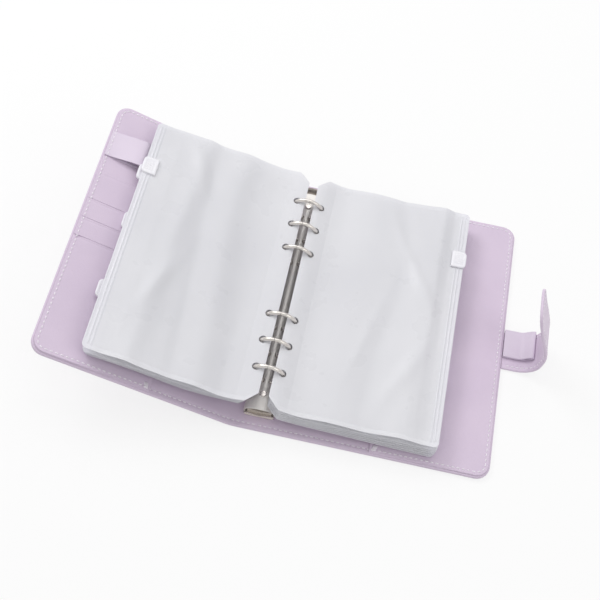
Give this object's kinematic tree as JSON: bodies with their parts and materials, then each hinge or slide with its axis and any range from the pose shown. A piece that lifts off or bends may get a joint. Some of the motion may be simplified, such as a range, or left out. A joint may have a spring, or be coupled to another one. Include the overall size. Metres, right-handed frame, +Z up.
{
  "type": "cash envelope wallet",
  "caption": "Ring-bound cash envelope wallet lying open, with frosted zip envelopes on rings, card slots, a pen loop and a magnetic strap.",
  "frame": {"origin": "centre of the spine's flat underside", "axes": "+X across the open wallet towards the back cover and strap, +Y along the spine towards its top, +Z up from the table"},
  "size_m": [0.3099, 0.19, 0.0708],
  "materials": {
    "lilac_leather": "fine-grained lilac artificial leather",
    "lilac_lining": "smooth lilac artificial leather",
    "board": "raw stiffening board",
    "magnet": "plated magnet",
    "nickel": "bright nickel plate",
    "frosted_film": "frosted translucent film",
    "white_plastic": "smooth white plastic"
  },
  "bodies": {
    "spine": {"spine_skin": "lilac_leather", "spine_board": "board", "spine_lining": "lilac_lining", "ring_shell": "nickel", "rivet_top": "nickel", "rivet_bottom": "nickel"},
    "front_cover": {"front_skin": "lilac_leather", "front_board": "board", "front_lining": "lilac_lining", "front_slip_pocket": "lilac_lining", "front_band": "lilac_lining", "closure_magnet_cover": "magnet", "card_slot_1": "lilac_lining", "card_slot_2": "lilac_lining", "card_slot_3": "lilac_lining", "card_slot_4": "lilac_lining"},
    "back_cover": {"back_skin": "lilac_leather", "back_board": "board", "back_lining": "lilac_lining", "back_slip_pocket": "lilac_lining", "closure_strap_outer": "lilac_leather", "closure_strap_lining": "lilac_lining", "closure_magnet_strap": "magnet", "pen_loop": "lilac_leather"},
    "rings_left": {"rail_left": "nickel", "ring_1_left": "nickel", "ring_2_left": "nickel", "ring_3_left": "nickel", "ring_4_left": "nickel", "ring_5_left": "nickel", "ring_6_left": "nickel"},
    "rings_right": {"rail_right": "nickel", "ring_1_right": "nickel", "ring_2_right": "nickel", "ring_3_right": "nickel", "ring_4_right": "nickel", "ring_5_right": "nickel", "ring_6_right": "nickel"},
    "lever_bottom": {"lever_bottom": "nickel"},
    "lever_top": {"lever_top": "nickel"},
    "left_stack": {"envelope_left_1": "frosted_film", "envelope_left_2": "frosted_film", "envelope_left_3": "frosted_film"},
    "left_top_envelope": {"envelope_left_4": "frosted_film"},
    "right_stack": {"envelope_right_1": "frosted_film", "envelope_right_2": "frosted_film", "envelope_right_3": "frosted_film", "envelope_right_4": "frosted_film", "envelope_right_5": "frosted_film"},
    "right_top_envelope": {"envelope_right_6": "frosted_film"},
    "slider_right_1": {"slider_right_1": "white_plastic"},
    "slider_right_2": {"slider_right_2": "white_plastic"},
    "slider_right_3": {"slider_right_3": "white_plastic"},
    "slider_right_4": {"slider_right_4": "white_plastic"},
    "slider_right_5": {"slider_right_5": "white_plastic"},
    "slider_right_6": {"slider_right_6": "white_plastic"},
    "slider_left_1": {"slider_left_1": "white_plastic"},
    "slider_left_2": {"slider_left_2": "white_plastic"},
    "slider_left_3": {"slider_left_3": "white_plastic"},
    "slider_left_4": {"slider_left_4": "white_plastic"}
  },
  "joints": [
    {"name": "front_cover_fold", "type": "hinge", "parent": "spine", "child": "front_cover", "pos_m": [-0.01625, 0, 0.0015], "axis": [0, 1, 0], "range_deg": [0, 68.4]},
    {"name": "back_cover_fold", "type": "hinge", "parent": "spine", "child": "back_cover", "pos_m": [0.01625, 0, 0.0015], "axis": [0, -1, 0], "range_deg": [0, 90]},
    {"name": "left_stack_turn", "type": "hinge", "parent": "spine", "child": "left_stack", "pos_m": [0, 0, 0.019], "axis": [0, 1, 0], "range_deg": [0, 71.6]},
    {"name": "right_stack_turn", "type": "hinge", "parent": "spine", "child": "right_stack", "pos_m": [0, 0, 0.019], "axis": [0, -1, 0], "range_deg": [0, 90.7]},
    {"name": "left_top_envelope_turn", "type": "hinge", "parent": "left_stack", "child": "left_top_envelope", "pos_m": [0, 0, 0.019], "axis": [0, -1, 0], "range_deg": [-163, 0]},
    {"name": "right_top_envelope_turn", "type": "hinge", "parent": "right_stack", "child": "right_top_envelope", "pos_m": [0, 0, 0.019], "axis": [0, 1, 0], "range_deg": [-163, 0]},
    {"name": "lever_bottom_press", "type": "hinge", "parent": "spine", "child": "lever_bottom", "pos_m": [0, -0.0838, 0.0037], "axis": [1, 0, 0], "range_deg": [0, 5.6]},
    {"name": "lever_top_press", "type": "hinge", "parent": "spine", "child": "lever_top", "pos_m": [0, 0.0838, 0.0037], "axis": [-1, 0, 0], "range_deg": [0, 5.6]},
    {"name": "rings_left_open", "type": "hinge", "parent": "spine", "child": "rings_left", "pos_m": [-0.00445, 0, 0.0048], "axis": [0, -1, 0], "range_deg": [0, 8]},
    {"name": "rings_right_open", "type": "hinge", "parent": "spine", "child": "rings_right", "pos_m": [0.00445, 0, 0.0048], "axis": [0, 1, 0], "range_deg": [0, 8.1]},
    {"name": "slider_right_1_travel", "type": "slide", "parent": "right_stack", "child": "slider_right_1", "axis": [0, 1, 0], "range_m": [-0.049, 0.109]},
    {"name": "slider_right_2_travel", "type": "slide", "parent": "right_stack", "child": "slider_right_2", "axis": [0, 1, 0], "range_m": [-0.091, 0.067]},
    {"name": "slider_right_3_travel", "type": "slide", "parent": "right_stack", "child": "slider_right_3", "axis": [0, 1, 0], "range_m": [-0.027, 0.131]},
    {"name": "slider_right_4_travel", "type": "slide", "parent": "right_stack", "child": "slider_right_4", "axis": [0, 1, 0], "range_m": [-0.109, 0.049]},
    {"name": "slider_right_5_travel", "type": "slide", "parent": "right_stack", "child": "slider_right_5", "axis": [0, 1, 0], "range_m": [-0.071, 0.087]},
    {"name": "slider_right_6_travel", "type": "slide", "parent": "right_top_envelope", "child": "slider_right_6", "axis": [0, 1, 0], "range_m": [-0.128, 0.03]},
    {"name": "slider_left_1_travel", "type": "slide", "parent": "left_stack", "child": "slider_left_1", "axis": [0, 1, 0], "range_m": [-0.089, 0.069]},
    {"name": "slider_left_2_travel", "type": "slide", "parent": "left_stack", "child": "slider_left_2", "axis": [0, 1, 0], "range_m": [-0.036, 0.122]},
    {"name": "slider_left_3_travel", "type": "slide", "parent": "left_stack", "child": "slider_left_3", "axis": [0, 1, 0], "range_m": [-0.125, 0.033]},
    {"name": "slider_left_4_travel", "type": "slide", "parent": "left_top_envelope", "child": "slider_left_4", "axis": [0, 1, 0], "range_m": [-0.1295, 0.0285]}
  ],
  "couplings": [
    {"joint": "left_stack_turn", "follows": "front_cover_fold", "ratio": 1.046},
    {"joint": "right_stack_turn", "follows": "back_cover_fold", "ratio": 1.0067},
    {"joint": "rings_right_open", "follows": "rings_left_open", "ratio": 1},
    {"joint": "lever_bottom_press", "follows": "rings_left_open", "ratio": 0.6875},
    {"joint": "lever_top_press", "follows": "rings_left_open", "ratio": 0.6875}
  ]
}
